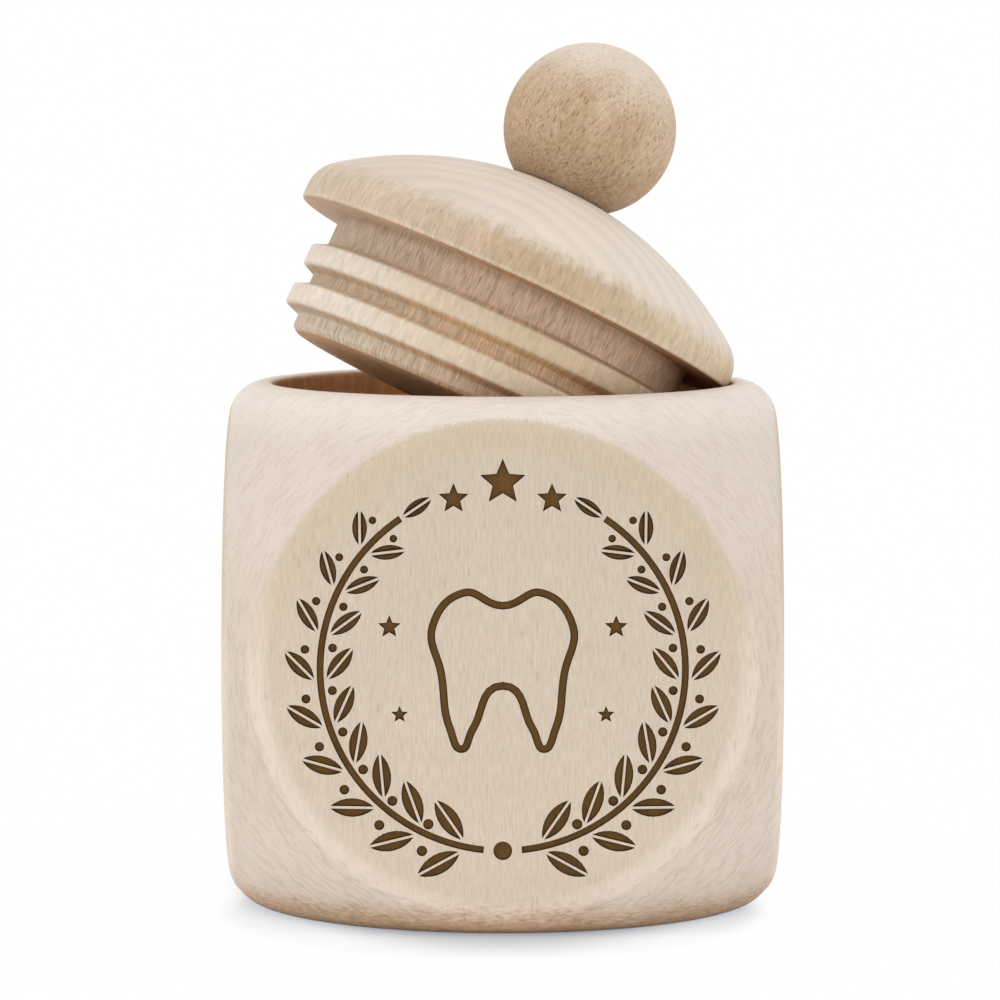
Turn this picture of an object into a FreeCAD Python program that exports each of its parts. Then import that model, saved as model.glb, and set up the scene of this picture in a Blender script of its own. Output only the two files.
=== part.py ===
import FreeCAD, Part
import math
import os

# A keepsake box for milk teeth in plain beech: a square block whose edges and corners are rounded off
# to one ball, bored from the top, with a turned lid that has a ribbed plug and a ball knob on a dowel.
# The lid stands tipped in the mouth, as it is set down after opening.
# Millimetres, +Z up, origin at the middle of the base, front towards -Y.

# Ribbed plug under the lid
rib_radius = 16.8
neck_radius = 15.6
groove_radius = 15.65
tail_radius = 15.4
rib_count = 2
rib_crest = 1.6
rib_flank = 0.5
neck_length = 2.75
groove_length = 0.9
tail_length = 1.4
tail_chamfer = 0.4

# Domed cap of the lid
cap_overlap = 0.3
cap_rim_height = 2.6
dome_rise = 7.0
cap_upper_round = 3.0
cap_lower_round = 0.3

# Ball knob and the dowel that holds it
ball_radius = 7.13
ball_seat_radius = 4.1
dowel_radius = 2.5
dowel_in_ball = 6.0
dowel_in_lid = 8.0
dowel_chamfer = 0.4
glue_gap = 0.05
dowel_end_gap = 0.5

# Block, bore and mouth
side_wall = 3.6
cavity_depth = 38.0
floor_thickness = 5.0
edge_cut = 1.2
flat_softening = 2.6
plug_clearance = 0.15
mouth_ledge = 1.95
mouth_edge_round = 0.5
floor_corner_round = 1.5

# How the lid stands tipped in the mouth
lean_angle = 25.9
lean_azimuth = 16.6
lean_sink = 1.3
lean_gap = 0.1
ledge_gap = 0.9

# Sizes that follow from the ones above
rib_length = rib_crest + 2 * rib_flank
plug_length = neck_length + rib_count * rib_length + (rib_count - 1) * groove_length + tail_length
bore_radius = rib_radius + plug_clearance
mouth_radius = bore_radius + mouth_ledge
mouth_depth = lean_sink + ledge_gap
cap_radius = mouth_radius + cap_overlap
dome_radius = (cap_radius ** 2 + dome_rise ** 2) / (2 * dome_rise)
dome_centre_height = cap_rim_height + dome_rise - dome_radius
seat_height = dome_centre_height + math.sqrt(dome_radius ** 2 - ball_seat_radius ** 2)
ball_height = seat_height + math.sqrt(ball_radius ** 2 - ball_seat_radius ** 2)
half_width = mouth_radius + side_wall
body_height = floor_thickness + cavity_depth
half_height = body_height / 2
corner_ball_radius = math.hypot(half_width, min(half_width, half_height)) - edge_cut

ORIGIN = FreeCAD.Vector(0, 0, 0)
UP = FreeCAD.Vector(0, 0, 1)
SAME = 1e-6
OVERSHOOT = 1.0


def at(radius, height):
    """A point of a half profile: its distance from the turning axis and its height."""
    return FreeCAD.Vector(radius, 0, height)


def lines_through(corners):
    """Straight edges from each corner to the next."""
    return [Part.LineSegment(start, end).toShape() for start, end in zip(corners, corners[1:])]


def corner_arc(centre_radius, centre_height, size, first_angle, last_angle):
    """A round corner of a half profile, from one angle to another about its own centre."""
    points = []
    for angle in (first_angle, (first_angle + last_angle) / 2, last_angle):
        turn = math.radians(angle)
        points.append(at(centre_radius + size * math.cos(turn), centre_height + size * math.sin(turn)))
    return Part.Arc(*points).toShape()


def turned(edges):
    """The solid that a closed half profile sweeps in one turn about the vertical axis."""
    return Part.Face(Part.Wire(edges)).revolve(ORIGIN, UP, 360)


def round_edges(solid, radius, height):
    """The solid's round edges of one radius about the vertical axis at one height."""
    found = []
    for edge in solid.Edges:
        curve = edge.Curve
        if isinstance(curve, Part.Circle):
            if abs(curve.Radius - radius) < SAME and abs(curve.Center.z - height) < SAME:
                found.append(edge)
    return found


def make_block():
    """The square block cut back to a ball, with the rims of its six round flats sanded soft."""
    corner = FreeCAD.Vector(-half_width, -half_width, 0)
    block = Part.makeBox(2 * half_width, 2 * half_width, body_height, corner)
    ball = Part.makeSphere(corner_ball_radius)
    # The ball's seam runs down a corner, clear of the flats
    ball.rotate(ORIGIN, UP, 45)
    ball.translate(UP * half_height)
    rounded = block.common(ball)
    rims = []
    for edge in rounded.Edges:
        if isinstance(edge.Curve, Part.Circle) and edge.Curve.Radius < corner_ball_radius - SAME:
            rims.append(edge)
    return rounded.makeFillet(flat_softening, rims)


def make_bore():
    """What the cutters take out: the straight bore with its rounded floor, the ledge and the mouth."""
    ledge_height = body_height - mouth_depth
    lip_radius = mouth_radius + mouth_edge_round
    lip_height = body_height - mouth_edge_round
    edges = lines_through([at(0, floor_thickness), at(bore_radius - floor_corner_round, floor_thickness)])
    edges.append(corner_arc(bore_radius - floor_corner_round, floor_thickness + floor_corner_round,
                            floor_corner_round, -90, 0))
    edges += lines_through([at(bore_radius, floor_thickness + floor_corner_round), at(bore_radius, ledge_height),
                            at(mouth_radius, ledge_height), at(mouth_radius, lip_height)])
    edges.append(corner_arc(lip_radius, lip_height, mouth_edge_round, 180, 90))
    edges += lines_through([at(lip_radius, body_height), at(lip_radius, body_height + OVERSHOOT),
                            at(0, body_height + OVERSHOOT), at(0, floor_thickness)])
    return turned(edges)


def make_box_body():
    return make_block().cut(make_bore())


def plug_corners():
    """The plug's half profile from its lower end up to the cap: tail, ribs with grooves between, neck."""
    corners = [at(0, -plug_length), at(tail_radius - tail_chamfer, -plug_length)]
    corners.append(at(tail_radius, -plug_length + tail_chamfer))
    foot = -plug_length + tail_length
    below = tail_radius
    for number in range(1, rib_count + 1):
        above = groove_radius if number < rib_count else neck_radius
        corners.append(at(below, foot))
        corners.append(at(rib_radius, foot + rib_flank))
        corners.append(at(rib_radius, foot + rib_flank + rib_crest))
        corners.append(at(above, foot + rib_length))
        foot += rib_length + groove_length
        below = above
    corners.append(at(neck_radius, 0))
    return corners


def make_lid():
    """The lid, turned in one piece; its height is counted from the underside of the cap."""
    edges = lines_through(plug_corners() + [at(cap_radius, 0), at(cap_radius, cap_rim_height)])
    seat_angle = math.degrees(math.acos(ball_seat_radius / dome_radius))
    rim_angle = math.degrees(math.acos(cap_radius / dome_radius))
    edges.append(corner_arc(0, dome_centre_height, dome_radius, rim_angle, seat_angle))
    edges += lines_through([at(ball_seat_radius, seat_height), at(0, seat_height), at(0, -plug_length)])
    blank = turned(edges)
    blank = blank.makeFillet(cap_upper_round, round_edges(blank, cap_radius, cap_rim_height))
    blank = blank.makeFillet(cap_lower_round, round_edges(blank, cap_radius, 0))
    depth = dowel_in_lid + dowel_end_gap
    socket = Part.makeCylinder(dowel_radius + glue_gap, depth, UP * (seat_height - depth))
    return blank.cut(socket)


def make_knob_ball():
    """A turned ball with a flat where it sits on the dome, and a blind hole for the dowel."""
    ball = Part.makeSphere(ball_radius, UP * ball_height)
    below_seat = FreeCAD.Vector(-ball_radius, -ball_radius, seat_height - ball_radius)
    offcut = Part.makeBox(2 * ball_radius, 2 * ball_radius, ball_radius, below_seat)
    socket = Part.makeCylinder(dowel_radius + glue_gap, dowel_in_ball + dowel_end_gap, UP * seat_height)
    return ball.cut(offcut).cut(socket)


def make_knob_dowel():
    """The plain dowel, chamfered at both ends, that pins the ball to the lid."""
    foot = seat_height - dowel_in_lid
    head = seat_height + dowel_in_ball
    return turned(lines_through([
        at(0, foot), at(dowel_radius - dowel_chamfer, foot), at(dowel_radius, foot + dowel_chamfer),
        at(dowel_radius, head - dowel_chamfer), at(dowel_radius - dowel_chamfer, head), at(0, head), at(0, foot)]))


def leaning():
    """Where the tipped lid stands: the low side of its rim dips into the mouth and leans on the mouth's edge."""
    tilt = math.radians(lean_angle)
    rim_reach = cap_radius * math.cos(tilt) + lean_sink * math.tan(tilt)
    along = mouth_radius - lean_gap - rim_reach
    height = body_height - lean_sink + cap_radius * math.sin(tilt)
    heading = math.radians(lean_azimuth)
    place = FreeCAD.Vector(along * math.cos(heading), along * math.sin(heading), height)
    tilt_axis = FreeCAD.Vector(-math.sin(heading), math.cos(heading), 0)
    return FreeCAD.Placement(place, FreeCAD.Rotation(tilt_axis, lean_angle))


os.makedirs("parts", exist_ok=True)
make_box_body().exportStep("parts/box_body.step")
for node, piece in (("lid", make_lid()), ("knob_ball", make_knob_ball()), ("knob_dowel", make_knob_dowel())):
    piece.Placement = leaning()
    piece.exportStep("parts/" + node + ".step")
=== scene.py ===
import math

import bmesh
import bpy
from mathutils import Matrix, Vector


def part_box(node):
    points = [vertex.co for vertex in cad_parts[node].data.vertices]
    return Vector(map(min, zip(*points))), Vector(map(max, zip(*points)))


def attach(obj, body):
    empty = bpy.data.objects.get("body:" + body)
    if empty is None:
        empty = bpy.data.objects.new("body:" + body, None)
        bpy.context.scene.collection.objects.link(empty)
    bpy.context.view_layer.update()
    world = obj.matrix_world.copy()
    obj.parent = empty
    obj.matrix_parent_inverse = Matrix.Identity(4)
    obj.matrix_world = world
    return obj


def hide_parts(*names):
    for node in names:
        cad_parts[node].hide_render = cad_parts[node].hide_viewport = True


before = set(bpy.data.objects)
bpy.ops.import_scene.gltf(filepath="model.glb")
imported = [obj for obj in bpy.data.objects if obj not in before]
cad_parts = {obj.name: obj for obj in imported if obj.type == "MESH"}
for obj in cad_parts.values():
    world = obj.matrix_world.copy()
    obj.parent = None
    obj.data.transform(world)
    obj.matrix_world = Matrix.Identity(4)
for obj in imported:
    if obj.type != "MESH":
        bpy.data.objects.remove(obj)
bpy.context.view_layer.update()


# Box body
# A block of beech whose edges and corners are milled back to one ball, so that six round flats are left.
# It is bored from the top, with a wider ledge at the mouth for the lid, and sanded. A laser has burnt
# a wreath, a tooth and some stars into the front flat, a quarter of a millimetre deep.

MM = 0.001
AROUND = 192

box_low, box_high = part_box("box_body")
half_width = (box_high.x - box_low.x) / 2 / MM
body_height = box_high.z / MM
half_height = body_height / 2
edge_cut = 1.2
ball_cut = math.hypot(half_width, half_height) - edge_cut
flat_softening = 2.6
side_wall = 3.6
mouth_radius = half_width - side_wall
mouth_depth = 2.2
mouth_ledge = 1.95
lip_round = 0.5
bore_radius = mouth_radius - mouth_ledge
bore_floor = 5.0
floor_corner = 1.5
smooth_below = math.radians(35)

# Points nearer than this are one
meeting = 0.001
# The ball stops this far short of each soft rim, and the two are bridged
seam = 0.03
# A ring this far inside a rim keeps the shading of the flat even
rim_support = 0.08


def arc(centre_radius, centre_height, size, first, last, steps):
    """Points of a round stretch of a half profile, from one angle to another in degrees."""
    points = []
    for step in range(steps + 1):
        angle = math.radians(first + (last - first) * step / steps)
        points.append((centre_radius + size * math.cos(angle), centre_height + size * math.sin(angle)))
    return points


def turned(profile):
    """Spins a half profile of radius and height about the upright axis into one skin."""
    skin = bmesh.new()
    corners = [skin.verts.new((radius, 0, height)) for radius, height in profile]
    lines = [skin.edges.new(pair) for pair in zip(corners, corners[1:])]
    bmesh.ops.spin(skin, geom=corners + lines, axis=(0, 0, 1), cent=(0, 0, 0), angle=math.tau,
                   steps=AROUND, use_merge=True)
    bmesh.ops.remove_doubles(skin, verts=skin.verts, dist=meeting)
    return skin


def joined(skins):
    """One skin out of those that meet edge to edge, with its faces turned outwards."""
    whole = bmesh.new()
    for skin in skins:
        loose = bpy.data.meshes.new("loose")
        skin.to_mesh(loose)
        skin.free()
        whole.from_mesh(loose)
        bpy.data.meshes.remove(loose)
    bmesh.ops.remove_doubles(whole, verts=whole.verts, dist=meeting)
    bmesh.ops.recalc_face_normals(whole, faces=whole.faces)
    return whole


def piece(name, skin, place):
    """Makes an object of a skin in millimetres, set at its place, with only its real edges left sharp."""
    bmesh.ops.transform(skin, matrix=Matrix.Scale(MM, 4) @ place, verts=skin.verts)
    mesh = bpy.data.meshes.new(name)
    skin.to_mesh(mesh)
    skin.free()
    mesh.shade_smooth()
    mesh.set_sharp_from_angle(angle=smooth_below)
    made = bpy.data.objects.new(name, mesh)
    bpy.context.scene.collection.objects.link(made)
    return made


panel_radius = 18.3
front = Vector((0, -1, 0))
up = Vector((0, 0, 1))

# Each flat: the way it faces, its distance from the block's middle, and the radius of the hole left in it
flats = [
    (front, half_width, panel_radius),
    (Vector((1, 0, 0)), half_width, 0),
    (Vector((0, 1, 0)), half_width, 0),
    (Vector((-1, 0, 0)), half_width, 0),
    (up, half_height, mouth_radius + lip_round),
    (Vector((0, 0, -1)), half_height, 0),
]


def rim_end(reach):
    """The distance from the middle at which the soft rim of a flat runs out into the ball."""
    return ball_cut * (reach - flat_softening) / (ball_cut - flat_softening)


def round_flat(reach, hole):
    """One of the six flats, facing up, with its soft rim down to the ball."""
    rim_height = reach - flat_softening
    rim_radius = math.sqrt((ball_cut - flat_softening) ** 2 - rim_height ** 2)
    rim_angle = math.degrees(math.atan2(rim_height, rim_radius))
    profile = [(hole, reach)] if hole else [(0, reach), (rim_radius / 2, reach)]
    profile.append((rim_radius - rim_support, reach))
    return turned(profile + arc(rim_radius, rim_height, flat_softening, 90, rim_angle, steps=10))


def faced(skin, axis):
    """Turns a skin that faces up so that it faces along an axis."""
    facing = up.rotation_difference(axis).to_matrix()
    bmesh.ops.rotate(skin, verts=skin.verts, cent=(0, 0, 0), matrix=facing)
    return skin


def ball_between():
    """What is left of the ball between the soft rims of the six flats."""
    ball = bmesh.new()
    bmesh.ops.create_icosphere(ball, subdivisions=6, radius=ball_cut)
    for axis, reach, _ in flats:
        bmesh.ops.bisect_plane(ball, geom=ball.verts[:] + ball.edges[:] + ball.faces[:], dist=meeting / 10,
                               plane_co=axis * (rim_end(reach) - seam), plane_no=axis, clear_outer=True)
    return ball


def bore():
    """The inside, from the middle of the floor up over the ledge to the rounded lip of the mouth."""
    ledge_height = half_height - mouth_depth
    corner_height = bore_floor - half_height + floor_corner
    profile = [(0, bore_floor - half_height)]
    profile += arc(bore_radius - floor_corner, corner_height, floor_corner, -90, 0, steps=6)
    profile += [(bore_radius, ledge_height), (mouth_radius, ledge_height)]
    profile += arc(mouth_radius + lip_round, half_height - lip_round, lip_round, 180, 90, steps=6)
    return turned(profile)


burnt_depth = 0.26
# Round each burnt floor a ring this wide darkens towards the wall: char with painted shade
char_and_shade_width = 0.13
stencil_gap = 0.3
stem_radius = 14.5
stem_width = 0.55
stem_first = -84
stem_last = 56
leaf_pairs = 9
leaf_length = 3.7
leaf_width = 1.6
leaf_taper = 0.3
leaf_lean = 42
midrib_gap = 0.2
berry_radius = 0.42
berry_ahead = 2.9
berry_aside = 1.1
knot_radius = 0.75
tooth_line = 0.62
tooth_size = 1.15
tooth_crown = (0, 4.7)
tooth_side = [(2.7, 5.6), (5.1, 3.1), (4.5, -0.4), (3.9, -4.2), (2.85, -5.8), (1.8, -4.2)]
tooth_fork = (0, -1.4)
star_waist = 0.45
top_star_radius = 1.9
top_star_height = 14.9
# Each star beside the middle: its radius, and how far it is aside and up
side_stars = [(1.25, 3.9, 13.6), (0.95, 9.0, 3.4), (0.7, 8.2, -3.6)]
wall_char_and_shade = 1.0
floor_burn = 0.6
wall_slope = 0.5


def turn(degrees):
    """A turn in the plane of the front flat."""
    return Matrix.Rotation(math.radians(degrees), 4, "Z")


def shift(x, y):
    """A move in the plane of the front flat."""
    return Matrix.Translation((x, y, 0))


def leaf(size, place):
    """Two half leaves, each an arc over a straight line, beside a midrib that is left standing."""
    length = leaf_length * size
    height = (leaf_width * size - midrib_gap) / 2
    radius = (length ** 2 / 4 + height ** 2) / (2 * height)
    reach = math.degrees(math.asin(length / 2 / radius))
    halves = []
    for side in (1, -1):
        half = bmesh.new()
        outline = arc(length / 2, midrib_gap / 2 + height - radius, radius, 90 - reach, 90 + reach, steps=8)
        half.faces.new([half.verts.new((x, side * y, 0)) for x, y in outline])
        bmesh.ops.transform(half, matrix=place, verts=half.verts)
        halves.append(half)
    return halves


def spot(radius, place):
    """A round spot."""
    made = bmesh.new()
    bmesh.ops.create_circle(made, cap_ends=True, segments=20, radius=radius, matrix=place)
    return made


def star(radius, place):
    """A star of five points with one point up."""
    made = bmesh.new()
    bmesh.ops.create_circle(made, cap_ends=True, segments=10, radius=radius)
    bmesh.ops.scale(made, verts=list(made.verts)[1::2], vec=(star_waist, star_waist, 1))
    bmesh.ops.transform(made, matrix=place, verts=made.verts)
    return made


def branch():
    """The right half of the wreath: a stem, pairs of leaves and berries that grow smaller, a last leaf."""
    stem = bmesh.new()
    ends = [stem.verts.new((stem_radius + side * stem_width / 2, 0, 0)) for side in (-1, 1)]
    across = stem.edges.new(ends)
    bmesh.ops.transform(stem, matrix=turn(stem_first), verts=ends)
    bmesh.ops.spin(stem, geom=ends + [across], axis=(0, 0, 1), cent=(0, 0, 0),
                   angle=math.radians(stem_last - stem_first), steps=48)
    shapes = [stem]
    pitch = (stem_last - stem_first) / (leaf_pairs + 0.5)
    for number in range(leaf_pairs):
        size = 1 - leaf_taper * number / leaf_pairs
        on_stem = turn(stem_first + pitch * (number + 0.5)) @ shift(stem_radius, 0) @ turn(90)
        for side in (1, -1):
            beside = on_stem @ shift(0, side * (stem_width / 2 + stencil_gap))
            shapes += leaf(size, beside @ turn(side * leaf_lean))
            ahead = on_stem @ shift(berry_ahead * size, side * berry_aside)
            shapes.append(spot(berry_radius * size, ahead))
    tip = turn(stem_last) @ shift(stem_radius, 0) @ turn(90) @ shift(stencil_gap, 0)
    return shapes + leaf(1 - leaf_taper, tip)


def tooth():
    """A milk molar drawn as a line of even width: a crown with two humps, and two roots."""
    left_side = [(-x, y) for x, y in reversed(tooth_side)]
    knots = [tooth_crown] + tooth_side + [tooth_fork] + left_side
    curve = bpy.data.curves.new("tooth", "CURVE")
    curve.resolution_u = 8
    line = curve.splines.new("BEZIER")
    line.bezier_points.add(len(knots) - 1)
    line.use_cyclic_u = True
    for knot, (x, y) in zip(line.bezier_points, knots):
        knot.co = (x * tooth_size, y * tooth_size, 0)
        knot.handle_left_type = "AUTO"
        knot.handle_right_type = "AUTO"
    drawn = bpy.data.objects.new("tooth", curve)
    made = bmesh.new()
    made.from_mesh(drawn.to_mesh())
    drawn.to_mesh_clear()
    bpy.data.objects.remove(drawn)
    bpy.data.curves.remove(curve)
    whole = bmesh.ops.contextual_create(made, geom=made.edges[:])["faces"]
    bmesh.ops.inset_region(made, faces=whole, thickness=tooth_line, use_even_offset=True, use_boundary=True)
    bmesh.ops.delete(made, geom=whole, context="FACES_ONLY")
    return made


def burnt_pockets():
    """The burnt shapes of a flat that faces up, sunk to their depth: floors edged by a ring, and walls."""
    shapes = branch()
    for shape in branch():
        bmesh.ops.scale(shape, verts=shape.verts, vec=(-1, 1, 1))
        shapes.append(shape)
    shapes.append(tooth())
    shapes.append(star(top_star_radius, shift(0, top_star_height)))
    shapes.append(spot(knot_radius, shift(0, -stem_radius)))
    for side in (-1, 1):
        shapes += [star(radius, shift(side * x, y)) for radius, x, y in side_stars]
    pockets = joined(shapes)
    bmesh.ops.inset_region(pockets, faces=pockets.faces[:], thickness=char_and_shade_width, use_even_offset=True,
                           use_boundary=True)
    covers = pockets.faces[:]
    floors = bmesh.ops.extrude_face_region(pockets, geom=covers)["geom"]
    sunk = [part for part in floors if isinstance(part, bmesh.types.BMVert)]
    bmesh.ops.translate(pockets, verts=sunk, vec=(0, 0, -burnt_depth))
    bmesh.ops.delete(pockets, geom=covers, context="FACES")
    bmesh.ops.translate(pockets, verts=pockets.verts, vec=(0, 0, half_width))
    return pockets


def mark_burnt(block):
    """Notes at each corner of a burnt face how far it is burnt and shaded: most along walls, with painted
    shade, less on floors.
    """
    burn = block.loops.layers.float.new("burn")
    for face in block.faces:
        middle = face.calc_center_median()
        sunk = burnt_depth / 4 < middle.y + half_width < burnt_depth * 2
        if sunk and math.hypot(middle.x, middle.z) < panel_radius:
            for loop in face.loops:
                walls = [near for near in loop.vert.link_faces if abs(near.normal.y) < wall_slope]
                loop[burn] = wall_char_and_shade if walls else floor_burn


def block_skin():
    """The six flats and the ball between them, bridged at their rims, with the bore and the burnt front."""
    skins = [ball_between(), bore()]
    for axis, reach, hole in flats:
        skins.append(faced(round_flat(reach, hole), axis))
    block = joined(skins)
    for axis, reach, _ in flats:
        rim = [edge for edge in block.edges if edge.is_boundary
               and all(abs(corner.co.dot(axis) - rim_end(reach)) < 2 * seam for corner in edge.verts)]
        bmesh.ops.bridge_loops(block, edges=rim)
    block = joined([block, faced(burnt_pockets(), front)])
    around_burnt = [edge for edge in block.edges if edge.is_boundary]
    bmesh.ops.triangle_fill(block, edges=around_burnt, use_beauty=True, normal=front)
    bmesh.ops.recalc_face_normals(block, faces=block.faces)
    mark_burnt(block)
    return block


block_place = Matrix.Translation((0, 0, half_height))
box_body = piece("milled_block", block_skin(), block_place)


class Shade:
    """One value in a material's nodes; Python's operators on it add Math nodes."""

    def __init__(self, tree, socket=None):
        self.tree = tree
        self.socket = socket

    def add(self, kind, settings=None, inputs=None, output=0):
        """Adds a node: its settings first, then a value or a link for each socket."""
        node = self.tree.nodes.new("ShaderNode" + kind)
        for name, value in (settings or {}).items():
            setattr(node, name, value)
        for name, value in (inputs or {}).items():
            if isinstance(value, Shade):
                self.tree.links.new(value.socket, node.inputs[name])
            else:
                node.inputs[name].default_value = value
        return Shade(self.tree, node.outputs[output] if node.outputs else None)

    def maths(self, operation, *terms):
        """One Math node on its terms."""
        return self.add("Math", {"operation": operation}, dict(enumerate(terms)))

    def __add__(self, other):
        return self.maths("ADD", self, other)

    __radd__ = __add__

    def __sub__(self, other):
        return self.maths("SUBTRACT", self, other)

    def __rsub__(self, other):
        return self.maths("SUBTRACT", other, self)

    def __mul__(self, other):
        return self.maths("MULTIPLY", self, other)

    __rmul__ = __mul__

    def __abs__(self):
        return self.maths("ABSOLUTE", self)

    def most(self, other):
        """The larger of two values."""
        return self.maths("MAXIMUM", self, other)

    def step(self, start, end):
        """Rises softly from 0 at start to 1 at end."""
        return self.add("MapRange", {"interpolation_type": "SMOOTHSTEP"},
                        {"Value": self, "From Min": start, "From Max": end})

    def fall(self, start, end):
        """Falls softly from 1 at start to 0 at end."""
        return 1 - self.step(start, end)

    def parts(self):
        """The three numbers of a vector."""
        return [self.add("SeparateXYZ", None, {"Vector": self}, axis) for axis in range(3)]

    def stretched(self, across, along):
        """A point with the grain drawn out: so many features in a millimetre across it and along it."""
        return self.add("VectorMath", {"operation": "MULTIPLY"}, {0: self, 1: (across, across, along)})

    def noise(self, detail=2.0):
        """Soft noise about 0, for a point in units of the noise."""
        return self.add("TexNoise", None, {"Vector": self, "Scale": 1.0, "Detail": detail}) - 0.5

    def over(self, colour, share):
        """A colour laid over this one by a share."""
        return self.add("Mix", {"data_type": "RGBA"}, {0: share, 6: self, 7: colour}, 2)

    def times(self, factor):
        """A colour made lighter or darker by a factor."""
        return self.add("VectorMath", {"operation": "SCALE"}, {0: self, "Scale": factor})


def tone(red, green, blue):
    """A colour as it is seen, 0 to 255, in the shader's linear light."""
    linear = []
    for part in (red, green, blue):
        share = part / 255
        linear.append(share / 12.92 if share <= 0.04045 else ((share + 0.055) / 1.055) ** 2.4)
    return (*linear, 1)


def mixed(share, first, second):
    """A tone between two, the first where the share is 0."""
    return share.add("Mix", {"data_type": "RGBA"}, {0: share, 6: first, 7: second}, 2)


def new_finish(name):
    """An empty material and the canvas on which its nodes are set."""
    material = bpy.data.materials.new(name)
    material.use_nodes = True
    material.node_tree.nodes.clear()
    return material, Shade(material.node_tree)


def grain_point(canvas, place):
    """A point of a piece in millimetres, in the frame the piece was made in, where grain runs along Z."""
    back = place.inverted()
    seen = canvas.add("TexCoord", None, None, "Object")
    return canvas.add("Mapping", {"vector_type": "POINT"}, {
        "Vector": seen, "Location": back.to_translation(), "Rotation": back.to_euler(),
        "Scale": (1 / MM, 1 / MM, 1 / MM)})


pore_fade = 0.2
wood_roughness = 0.62
fibre_sheen = 0.2
wood_gloss = 0.25


def pore_dashes(point, across, along, share, size=0.3):
    """Short dark pores along the grain: the middles of drawn-out cells, in a share of the cells."""
    cells = point.stretched(across, along)
    near = cells.add("TexVoronoi", {"feature": "F1"}, {"Vector": cells, "Scale": 1.0}, "Distance")
    lot = cells.add("TexVoronoi", {"feature": "F1"}, {"Vector": cells, "Scale": 1.0}, "Color")
    drawn = lot.parts()[0].fall(share, share + pore_fade)
    return near.fall(size / 2, size) * drawn


def set_finish(canvas, colour, fibre, relief, depth):
    """Bare sanded wood: its colour, a sheen that follows the fibre, and relief of a depth in mm."""
    bump = canvas.add("Bump", None, {"Height": relief, "Strength": 1.0, "Distance": depth * MM})
    surface = canvas.add("BsdfPrincipled", None, {
        "Base Color": colour, "Roughness": wood_roughness - fibre * fibre_sheen,
        "Specular IOR Level": wood_gloss, "Normal": bump})
    canvas.add("OutputMaterial", None, {"Surface": surface})


sanded_dark = tone(206, 189, 168)
sanded_light = tone(223, 208, 191)
flat_rim_tone = tone(212, 195, 162)
soft_rim_tone = tone(237, 221, 205)
milled_middle_tone = tone(220, 207, 191)
milled_end_tone = tone(226, 212, 199)
milled_upper_light_tone = tone(225, 211, 199)
shoulder_light_tone = tone(238, 226, 215)
wrinkle_crease_shade_tone = tone(188, 162, 136)
foot_grain_and_shade_tone = tone(195, 160, 126)
foot_edge_shade_tone = tone(150, 116, 86)
bore_tone = tone(206, 160, 118)
block_pore_tone = tone(150, 116, 88)
burnt_floor_tone = tone(105, 73, 28)
wall_char_and_shade_tone = tone(40, 24, 8)

# Where the block's looks change: the start and the end of each change, in millimetres from its middle
flat_sides = (half_width - 0.4, half_width - 0.16)
flat_rim_reach = (27.2, 29.3)
flat_rim_heights = (-6.0, 12.0)
soft_rim_reach = (29.0, 29.8)
soft_rim_sides = (half_width - 0.75, half_width - 0.4)
soft_rim_heights = (-2.0, 9.0)
milled_end_heights = (5.0, 17.0)
milled_upper_heights = (4.0, 14.0)
shoulder_heights = (17.0, 20.5)
foot_heights = (-20.9, -18.3)
foot_edge_shade_heights = (-21.4, -20.3)
bore_foot_heights = (-19.5, -18.5)
lip_heights = (half_height - 0.2, half_height - 0.05)
bore_reach_squared = ((mouth_radius + 0.05) ** 2, (mouth_radius + 0.25) ** 2)

# Wrinkles on the milled corners: how many in a millimetre along X, Y and Z, and how far they waver
wrinkle_scale = (0.6, 4.4, 0.65)
wrinkle_waver = 4.0
wrinkle_noise = (-0.14, -0.01)
# How far a face has to be burnt for it to show
burnt_share = (0.2, 0.4)


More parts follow.
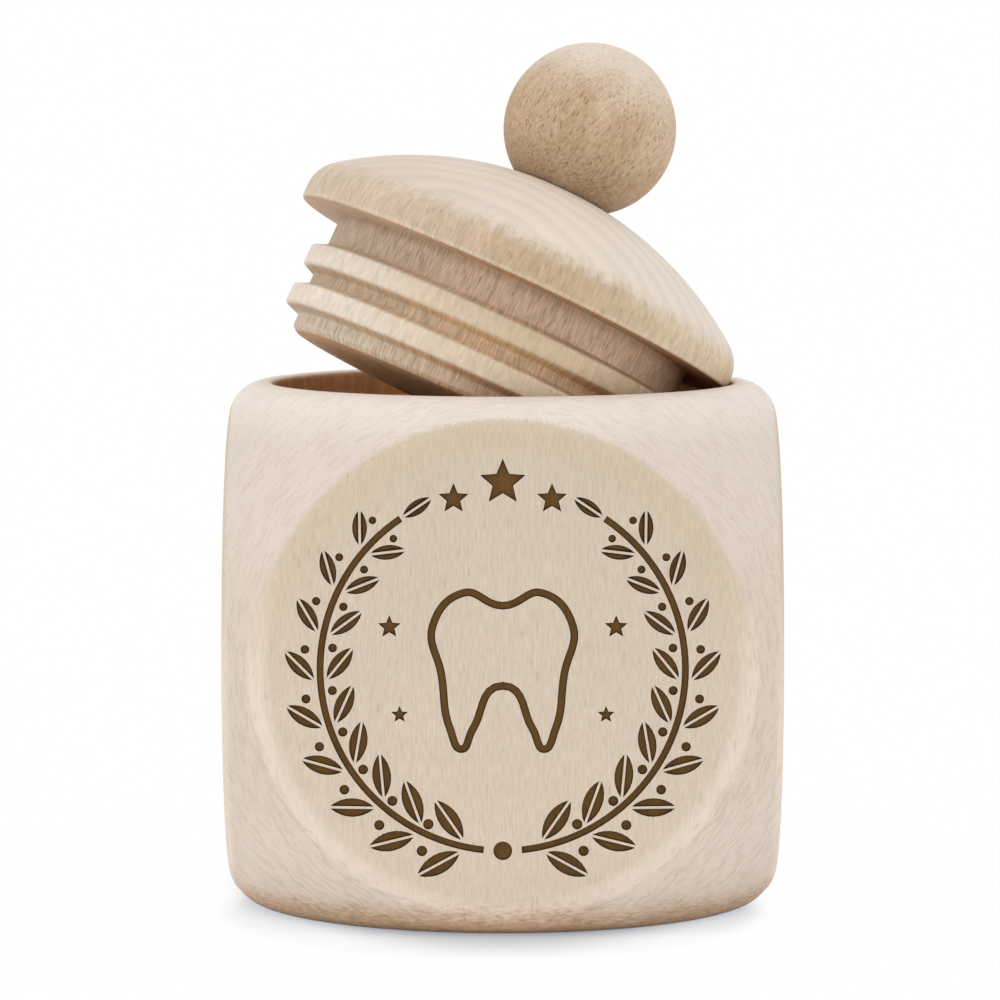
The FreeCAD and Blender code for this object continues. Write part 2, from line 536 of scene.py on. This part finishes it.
def block_beech():
    """Beech with upright grain: paler where milled, browner at the foot and in the bore, burnt in front;
    with painted light and shade.
    """
    material, canvas = new_finish("block_beech")
    point = grain_point(canvas, block_place)
    x, y, z = point.parts()
    fibre = point.stretched(across=6.0, along=0.8).noise()
    streak = point.stretched(across=1.2, along=0.06).noise(detail=1.0)
    patch = point.stretched(across=0.16, along=0.16).noise(detail=1.0)
    fleck = point.stretched(across=1.3, along=4.5).noise()
    wave = point.stretched(across=0.45, along=0.45).noise(detail=1.0)
    pores = pore_dashes(point, across=2.6, along=0.6, share=0.12)

    reach = canvas.add("VectorMath", {"operation": "LENGTH"}, {0: point}, "Value")
    side = abs(x).most(abs(y))
    milled = (side + fibre * 0.6).fall(*flat_sides)
    flat_rim = (reach + fibre * 2.0).step(*flat_rim_reach) * (1 - milled) * z.step(*flat_rim_heights)
    soft_rim = reach.step(*soft_rim_reach) * side.step(*soft_rim_sides) * z.fall(*soft_rim_heights)
    foot = (z + fleck * 1.6 + patch * 1.5).fall(*foot_heights)
    foot_edge_shade = z.fall(*foot_edge_shade_heights)
    inside = (x * x + y * y).fall(*bore_reach_squared) * z.fall(*lip_heights) * z.step(*bore_foot_heights)
    long, thick, tall = wrinkle_scale
    curl = canvas.add("CombineXYZ", None, {0: x * long, 1: y * thick + wave * wrinkle_waver, 2: z * tall})
    wrinkle = curl.noise().fall(*wrinkle_noise) * milled * (0.86 - 0.013 * z)

    pale = mixed(abs(z).step(*milled_end_heights), milled_middle_tone, milled_end_tone)
    # Painted light: higher up, the milled ball is painted paler, and palest on the shoulders under the top
    # flat.
    pale = pale.over(milled_upper_light_tone, z.step(*milled_upper_heights))
    pale = pale.over(shoulder_light_tone, z.step(*shoulder_heights))
    colour = mixed(fibre + 0.5, sanded_dark, sanded_light).over(pale, milled)
    colour = colour.over(flat_rim_tone, flat_rim * 0.45)
    colour = colour.over(soft_rim_tone, soft_rim * 0.75)
    # The wrinkles are real relief; their darker creases are painted shade.
    colour = colour.over(wrinkle_crease_shade_tone, wrinkle * 0.22)
    # Browner at the foot: partly the end grain's own colour, partly painted shade on the bottom that faces
    # down.
    colour = colour.over(foot_grain_and_shade_tone, foot * 0.82)
    # Painted shade: the bottom edge is darker where it meets the floor.
    colour = colour.over(foot_edge_shade_tone, foot_edge_shade * 0.42)
    colour = colour.over(bore_tone, inside)
    light = 1 + fibre * (0.22 - 0.16 * milled) + streak * 0.07 + patch * 0.05
    # Painted light in the last two terms: a little lighter towards the bottom and towards the left.
    light = light + fleck * foot + (fibre + streak * 1.6) * inside * 0.4 - z * 0.0022 - x * 0.0006
    colour = colour.times(light)
    colour = colour.over(block_pore_tone, pores * (0.14 - 0.08 * milled + 0.3 * foot))

    burn = canvas.add("Attribute", {"attribute_name": "burn"}, None, "Fac")
    # Burnt floors are brown; the char darkens towards the walls, where it also stands for painted shade
    # along the pockets' edges.
    charred = mixed(burn.step(floor_burn + 0.05, wall_char_and_shade), burnt_floor_tone, wall_char_and_shade_tone)
    colour = colour.over(charred.times(1 + fibre * 0.5 + streak * 0.5), burn.step(*burnt_share))
    relief = fibre * 0.5 - wrinkle * 0.5 - pores * 0.4
    set_finish(canvas, colour, fibre, relief, depth=0.06)
    return material


box_body.data.materials.append(block_beech())
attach(box_body, "box")
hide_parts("box_body")


# Lid
# Turned from one piece of beech with the grain along its axis: a plug with two ribs that grip the bore,
# and a domed cap whose top is end grain. It stands tipped in the mouth, as it is set down after opening.

rib_radius = 16.8
neck_radius = 15.6
groove_radius = 15.65
tail_radius = 15.4
rib_count = 2
rib_crest = 1.6
rib_flank = 0.5
rib_length = rib_crest + 2 * rib_flank
neck_length = 2.75
groove_length = 0.9
tail_length = 1.4
tail_chamfer = 0.4
plug_length = neck_length + rib_count * rib_length + (rib_count - 1) * groove_length + tail_length
cap_overlap = 0.3
cap_radius = mouth_radius + cap_overlap
cap_rim_height = 2.6
dome_rise = 7.0
cap_upper_round = 3.0
cap_lower_round = 0.3
dome_radius = (cap_radius ** 2 + dome_rise ** 2) / (2 * dome_rise)
dome_centre = cap_rim_height + dome_rise - dome_radius
seat_radius = 4.1
seat_height = dome_centre + math.sqrt(dome_radius ** 2 - seat_radius ** 2)
socket_radius = 2.55
dowel_in_lid = 8.0
dowel_in_ball = 6.0
socket_gap = 0.5
turned_edge = 0.14

lean_angle = math.radians(25.9)
lean_heading = math.radians(16.6)
lean = Matrix.Rotation(lean_angle, 4, Vector((-math.sin(lean_heading), math.cos(lean_heading), 0)))
dowel_low, dowel_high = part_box("knob_dowel")
dowel_middle = (dowel_low + dowel_high) / 2 / MM
dowel_middle_height = seat_height + (dowel_in_ball - dowel_in_lid) / 2
lid_place = Matrix.Translation(dowel_middle - lean.to_3x3() @ Vector((0, 0, dowel_middle_height))) @ lean


def plug_profile():
    """The plug from its lower end up to the cap: tail, ribs with a groove between, neck."""
    profile = [(0, -plug_length), (tail_radius - tail_chamfer, -plug_length)]
    profile.append((tail_radius, -plug_length + tail_chamfer))
    foot = -plug_length + tail_length
    below = tail_radius
    for number in range(1, rib_count + 1):
        above = groove_radius if number < rib_count else neck_radius
        profile += [(below, foot), (rib_radius, foot + rib_flank)]
        profile += [(rib_radius, foot + rib_flank + rib_crest), (above, foot + rib_length)]
        foot += rib_length + groove_length
        below = above
    profile.append((neck_radius, 0))
    return profile


def cap_profile():
    """The cap from its lower edge over the dome to the flat seat and the dowel's socket."""
    profile = arc(cap_radius - cap_lower_round, cap_lower_round, cap_lower_round, -90, 0, steps=4)
    shoulder_radius = cap_radius - cap_upper_round
    shoulder = math.sqrt((dome_radius - cap_upper_round) ** 2 - shoulder_radius ** 2)
    shoulder_end = math.degrees(math.atan2(shoulder, shoulder_radius))
    profile += arc(shoulder_radius, dome_centre + shoulder, cap_upper_round, 0, shoulder_end, steps=10)
    seat_angle = math.degrees(math.acos(seat_radius / dome_radius))
    profile += arc(0, dome_centre, dome_radius, shoulder_end, seat_angle, steps=32)[1:]
    socket_floor = seat_height - dowel_in_lid - socket_gap
    profile += [(socket_radius, seat_height), (socket_radius, socket_floor), (0, socket_floor)]
    return profile


def break_edges(skin, size):
    """Takes the sharpness off every hard turned edge."""
    hard = [edge for edge in skin.edges if edge.is_manifold and edge.calc_face_angle() > smooth_below]
    bmesh.ops.bevel(skin, geom=hard, offset=size, affect="EDGES", segments=3, profile=0.5, material=-1,
                    clamp_overlap=True)


lid_skin = joined([turned(plug_profile() + cap_profile())])
break_edges(lid_skin, turned_edge)
lid = piece("turned_lid", lid_skin, lid_place)

# The lid's tones, from its left side to its right side where there are two: each pair is one wood, painted
# lit on one side and shaded on the other
rim_tones = (tone(209, 188, 165), tone(195, 170, 139))
far_rim_light_tone = tone(219, 198, 168)
dome_tones = (tone(219, 202, 187), tone(228, 215, 200))
neck_tones = (tone(198, 177, 155), tone(210, 182, 154))
crest_tones = (tone(228, 214, 198), tone(213, 191, 160))
lower_crest_tones = (tone(229, 215, 199), tone(218, 198, 170))
tail_tones = (tone(208, 191, 170), tone(210, 184, 156))
groove_tones = (tone(195, 172, 147), tone(203, 173, 141))
lower_flank_shade_tones = (tone(188, 162, 132), tone(200, 160, 116))
upper_flank_shadow_tone = tone(146, 112, 84)
nook_shade_tone = tone(150, 112, 80)
underside_shade_tones = (tone(192, 160, 134), tone(172, 128, 92))
plug_end_tone = tone(228, 191, 150)
cap_edge_tone = tone(226, 208, 184)
lid_pore_tone = tone(146, 110, 76)

# Where the lid's looks change: the start and the end of each change, in millimetres.
# Heights are counted from the cap's underside, reaches from the lid's axis, and sides from left to right.
rib_pitch = rib_length + groove_length
rib_top = -neck_length
groove_top = rib_top - rib_length
tail_top = tail_length - plug_length
right_sides = (-15.0, 2.0)
far_right_sides = (2.0, 17.0)
dome_heights = (2.0, 4.0)
plug_heights = (-0.06, -0.01)
crest_reach = (16.2, 16.7)
flank_reach = (15.62, 15.75)
upper_flank_shadow_sides = (-1.0, 8.0)
lower_flank_share = (0.34, 0.4)
underside_shade_heights = (0.02, 0.12)
cap_edge_reach = (cap_radius - 0.3, cap_radius - 0.1)
cap_edge_heights = (0.2, 0.45)
nook_shade_heights = (-1.0, -0.1)
neck_heights = (rib_top - 0.1, rib_top)
neck_shade_start = (-1.0, 4.0)
neck_shade_end = (6.0, 10.0)
groove_heights = (groove_top, groove_top + 0.1)
lower_rib_heights = (rib_top - rib_pitch, groove_top)
tail_heights = (tail_top - 0.05, tail_top + 0.05)
plug_end_heights = (0.03 - plug_length, 0.1 - plug_length)

# Growth rings on the end grain: the tree's middle lay outside the lid
tree_middle = (-14, -52, 0)
rings_in_millimetre = 0.45
late_wood_start = (0.2, 0.75)
late_wood_end = (0.78, 1.0)


def from_middle(across, along):
    """How far a point is from the middle of a round, by its distances in two directions."""
    return across.maths("SQRT", across * across + along * along)


def lid_beech():
    """Beech along the lid's axis: dashed side grain on rim and ribs, pale end grain with arcs on top, with
    painted light and shade.
    """
    material, canvas = new_finish("lid_beech")
    point = grain_point(canvas, lid_place)
    x, y, z = point.parts()
    reach = from_middle(x, y)
    onto_rim = cap_radius * canvas.maths("DIVIDE", 1, reach.most(1))
    spoke = canvas.add("CombineXYZ", None, {0: x * onto_rim, 1: y * onto_rim, 2: z})
    fibre = spoke.stretched(across=5.0, along=0.8).noise()
    streak = spoke.stretched(across=1.3, along=0.25).noise(detail=1.0)
    mottle = point.stretched(across=1.8, along=1.0).noise(detail=3.0)
    patch = point.stretched(across=0.2, along=0.2).noise(detail=1.0)
    pores = pore_dashes(point, across=3.0, along=0.9, share=0.35)

    right = (x + patch * 8.0).step(*right_sides)
    far_right = x.step(*far_right_sides)
    dome = (z + fibre * 0.6 + streak + mottle * 1.2 + far_right * 0.6).step(*dome_heights)
    plug = z.fall(*plug_heights)
    crest = reach.step(*crest_reach) * plug
    flank = reach.step(*flank_reach) * plug - crest
    below_crest = canvas.maths("FRACT", (z - rib_top) * (-1 / rib_pitch)).step(*lower_flank_share)
    lower_rib = z.fall(*lower_rib_heights)
    tail = z.fall(*tail_heights)
    groove = plug * z.fall(*groove_heights) * (1 - crest) * (1 - tail)
    plug_end = z.fall(*plug_end_heights)
    nook_shade = plug * z.step(*nook_shade_heights)
    neck_shade = plug * z.step(*neck_heights) * x.step(*neck_shade_start) * x.fall(*neck_shade_end)
    underside = z.fall(*underside_shade_heights) * (1 - plug)
    cap_edge = reach.step(*cap_edge_reach) * z.fall(*cap_edge_heights) * (1 - plug)

    level = canvas.add("VectorMath", {"operation": "MULTIPLY"}, {0: point, 1: (1, 1, 0)})
    grown = canvas.add("VectorMath", {"operation": "DISTANCE"}, {0: level, 1: tree_middle}, "Value")
    ring = canvas.maths("FRACT", grown * rings_in_millimetre + patch * 0.7)
    late_wood = ring.step(*late_wood_start) * ring.fall(*late_wood_end) * dome

    # Painted light: each left tone blends into its right one, and the far right of the rim is painted
    # lighter.
    colour = mixed(right, *rim_tones).over(far_rim_light_tone, far_right * 0.8)
    colour = colour.over(mixed(right, *dome_tones), dome)
    colour = colour.over(mixed(right, *neck_tones), plug)
    colour = colour.over(mixed(right, *crest_tones), crest)
    colour = colour.over(mixed(right, *lower_crest_tones), crest * lower_rib)
    colour = colour.over(mixed(right, *tail_tones), tail)
    colour = colour.over(mixed(right, *groove_tones), groove * 0.75)
    # Painted shade on the ribs' lower flanks, which face down.
    colour = colour.over(mixed(right, *lower_flank_shade_tones), flank * below_crest * 0.85)
    # Painted shadow: the cap's shadow on the ribs' upper flanks, towards the right.
    colour = colour.over(upper_flank_shadow_tone, flank * (1 - below_crest) * x.step(*upper_flank_shadow_sides) * 0.6)
    # Painted shade in the corner under the cap, at the top of the neck.
    colour = colour.over(nook_shade_tone, nook_shade * 0.45)
    # Painted shade on the cap's underside, deeper to the right.
    colour = colour.over(mixed(right, *underside_shade_tones), underside * 0.9)
    colour = colour.over(plug_end_tone, plug_end)
    colour = colour.over(cap_edge_tone, cap_edge * 0.45)
    dashed = fibre * (0.5 + 0.65 * plug - 0.8 * crest) + streak * 0.2 + mottle * 0.35
    # Painted light: the plug is painted lighter at the far right.
    dashed = dashed + far_right * plug * 0.14
    light = 1 + dashed * (1.04 - dome) + patch * 0.05 - late_wood * 0.075 - neck_shade * 0.08
    colour = colour.times(light)
    colour = colour.over(lid_pore_tone, pores * (0.24 + 0.14 * plug - 0.3 * crest - 0.22 * dome))
    set_finish(canvas, colour, fibre, fibre * 0.6 - pores * 0.5, depth=0.05)
    return material


lid.data.materials.append(lid_beech())
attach(lid, "lid")
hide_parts("lid")


# Knob ball
# A turned beech ball, a little darker and more speckled than the lid, flattened where it sits on the dome.
# A blind hole in it takes the upper end of the dowel, which is glued in.

ball_radius = 7.13
ball_rise = math.sqrt(ball_radius ** 2 - seat_radius ** 2)
ball_place = lid_place @ Matrix.Translation((0, 0, seat_height + ball_rise))
ball_last_angle = 89.9
grain_lean = Matrix.Rotation(math.radians(9), 4, "Y")


def ball_profile():
    """From the end of the socket down to the flat seat and round the ball to its top."""
    socket_end = dowel_in_ball + socket_gap - ball_rise
    seat_angle = -math.degrees(math.asin(ball_rise / ball_radius))
    profile = [(0, socket_end), (socket_radius, socket_end), (socket_radius, -ball_rise)]
    return profile + arc(0, 0, ball_radius, seat_angle, ball_last_angle, steps=64) + [(0, ball_radius)]


ball_skin = joined([turned(ball_profile())])
break_edges(ball_skin, turned_edge)
knob_ball = piece("turned_ball", ball_skin, ball_place)

ball_dark = tone(189, 157, 124)
ball_light = tone(206, 182, 153)
ball_top_grain_and_light_tone = tone(226, 211, 195)
ball_pore_tone = tone(146, 104, 64)
ball_patches = (-0.3, 0.3)
# Heights above the ball's middle, each the start and the end of a change
ball_top_heights = (0.5, 6.8)
ball_shade_heights = (-6.5, -1.0)


def ball_beech():
    """Browner beech, its grain a little off the dowel, freckled with pores, paler at the top as end grain
    and painted light, painted shade low down.
    """
    material, canvas = new_finish("ball_beech")
    point = grain_point(canvas, ball_place @ grain_lean)
    x, _, z = point.parts()
    fibre = point.stretched(across=4.6, along=1.1).noise()
    patch = point.stretched(across=0.24, along=0.14).noise(detail=2.0)
    pores = pore_dashes(point, across=3.6, along=1.0, share=0.55, size=0.34)
    freckles = pore_dashes(point, across=5.0, along=2.2, share=0.6, size=0.36)
    # The top is paler partly as end grain and partly as painted light from above; the lower part gets
    # painted shade.
    top = (z - x * 0.34 + patch * 3.0).step(*ball_top_heights)
    shade = (z - x * 0.3).fall(*ball_shade_heights)

    colour = mixed(patch.step(*ball_patches), ball_dark, ball_light)
    colour = colour.over(ball_top_grain_and_light_tone, top * 0.9)
    colour = colour.times(1 + fibre * 0.85 * (1.1 - top) - shade * 0.18)
    colour = colour.over(ball_pore_tone, pores.most(freckles * 0.7) * (0.64 - 0.52 * top))
    set_finish(canvas, colour, fibre, fibre * 0.6 - pores * 0.6, depth=0.05)
    return material


knob_ball.data.materials.append(ball_beech())
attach(knob_ball, "lid")
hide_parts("knob_ball")


# Knob dowel
# A plain fluteless beech dowel, chamfered at both ends, glued into the lid and the ball.
# Nothing of it shows while the knob is on, so the frame's own solid is kept and only gets its wood.

dowel_dark = tone(196, 166, 130)
dowel_light = tone(220, 196, 166)
dowel_pore_tone = tone(140, 104, 70)


def dowel_beech():
    """Straight-grained beech, as it comes from a dowel mill."""
    material, canvas = new_finish("dowel_beech")
    point = grain_point(canvas, lid_place)
    fibre = point.stretched(across=4.0, along=0.3).noise()
    pores = pore_dashes(point, across=2.4, along=0.6, share=0.4)
    colour = mixed(fibre + 0.5, dowel_dark, dowel_light)
    colour = colour.over(dowel_pore_tone, pores * 0.5)
    set_finish(canvas, colour, fibre, fibre * 0.5 - pores * 0.5, depth=0.05)
    return material


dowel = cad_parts["knob_dowel"]
dowel.data.materials.clear()
dowel.data.materials.append(dowel_beech())


# Studio
# A wide white sweep in an even white room, with one soft lamp far above and in front, a little left.
# In front of the box's foot a shadow is painted onto the paper, and further out all round the paper is
# painted white over its shadow.
# The camera stands where the photographer stood, a little above the box and far back with a long lens.

white = (1, 1, 1, 1)
black = (0, 0, 0, 1)
room_light = 0.95
sweep_bounce = (0.95, 0.95, 0.95, 1)
sweep_shadow = (0.54, 0.48, 0.43, 1)
sweep_glow = (0.46, 0.52, 0.58, 1)
sweep_size = 60.0
camera_place = (-0.00022, -0.53708, 0.07763)
camera_down = 4.735
camera_tilt = math.radians(90 - camera_down)
camera_lens = 234.7
lamp_from = Vector((-0.20, -0.30, 0.95))
lamp_spread = math.radians(40)
lamp_share = 0.11
lamp_strength = lamp_share * math.pi

# Ovals on the paper, in millimetres: painted white takes over outside the first, and painted shadow ends at
# the second
white_middle = -1
white_squeeze = 1.2
white_stretch = 7
white_reach = (24.5, 28.0)
white_share = 0.95
shade_middle = -6
shade_squeeze = 1.6
shade_reach = (15.0, 28.0)
shade_share = 0.38

sweep_skin = bmesh.new()
bmesh.ops.create_grid(sweep_skin, x_segments=1, y_segments=1, size=sweep_size / 2)
sweep_mesh = bpy.data.meshes.new("white_sweep")
sweep_skin.to_mesh(sweep_mesh)
sweep_skin.free()
sweep = bpy.data.objects.new("white_sweep", sweep_mesh)
bpy.context.scene.collection.objects.link(sweep)


def seen_directly(canvas):
    """1 for rays from the camera and those that a gloss or a glass sends on, else 0."""
    camera = canvas.add("LightPath", None, None, "Is Camera Ray")
    glossy = canvas.add("LightPath", None, None, "Is Glossy Ray")
    clear = canvas.add("LightPath", None, None, "Is Transmission Ray")
    return camera.most(glossy).most(clear)


def sweep_white():
    """White paper that shows the box's shadow, with a painted shadow in front of the foot and painted white
    over the shadow further out.
    """
    material, canvas = new_finish("sweep_white")
    x, y, _ = grain_point(canvas, Matrix.Identity(4)).parts()
    far = from_middle((x - white_middle) * white_squeeze, abs(y) - white_stretch).step(*white_reach)
    ahead = from_middle(x * shade_squeeze, y - shade_middle).fall(*shade_reach)
    bounce = canvas.add("BsdfDiffuse", None, {"Color": sweep_bounce})
    shadow = canvas.add("BsdfDiffuse", None, {"Color": sweep_shadow})
    glow = canvas.add("Emission", None, {"Color": sweep_glow, "Strength": 1.0})
    painted_white = canvas.add("Emission", None, {"Color": white, "Strength": 1.0})
    painted_shadow = canvas.add("BsdfDiffuse", None, {"Color": black})
    shown = canvas.add("AddShader", None, {0: shadow, 1: glow})
    shown = canvas.add("MixShader", None, {0: far * white_share, 1: shown, 2: painted_white})
    shown = canvas.add("MixShader", None, {0: ahead * shade_share, 1: shown, 2: painted_shadow})
    surface = canvas.add("MixShader", None, {0: seen_directly(canvas), 1: bounce, 2: shown})
    canvas.add("OutputMaterial", None, {"Surface": surface})
    return material


sweep_mesh.materials.append(sweep_white())

world = bpy.data.worlds.new("white_room")
world.use_nodes = True
world.node_tree.nodes.clear()
bpy.context.scene.world = world
room = Shade(world.node_tree)
even = room.add("Background", None, {"Color": white, "Strength": room_light})
backdrop = room.add("Background", None, {"Color": white, "Strength": 1.0})
around = room.add("MixShader", None, {0: seen_directly(room), 1: even, 2: backdrop})
room.add("OutputWorld", None, {"Surface": around})

lamp_data = bpy.data.lights.new("soft_lamp", "SUN")
lamp_data.angle = lamp_spread
lamp_data.energy = lamp_strength
lamp = bpy.data.objects.new("soft_lamp", lamp_data)
lamp.location = lamp_from
lamp.rotation_euler = lamp_from.to_track_quat("Z", "Y").to_euler()
bpy.context.scene.collection.objects.link(lamp)

camera_data = bpy.data.cameras.new("camera")
camera_data.lens = camera_lens
camera_data.clip_start = 0.01
camera_data.clip_end = 200
camera = bpy.data.objects.new("camera", camera_data)
camera.location = camera_place
camera.rotation_euler = (camera_tilt, 0, 0)
bpy.context.scene.collection.objects.link(camera)
bpy.context.scene.camera = camera
bpy.context.scene.view_settings.view_transform = "Standard"
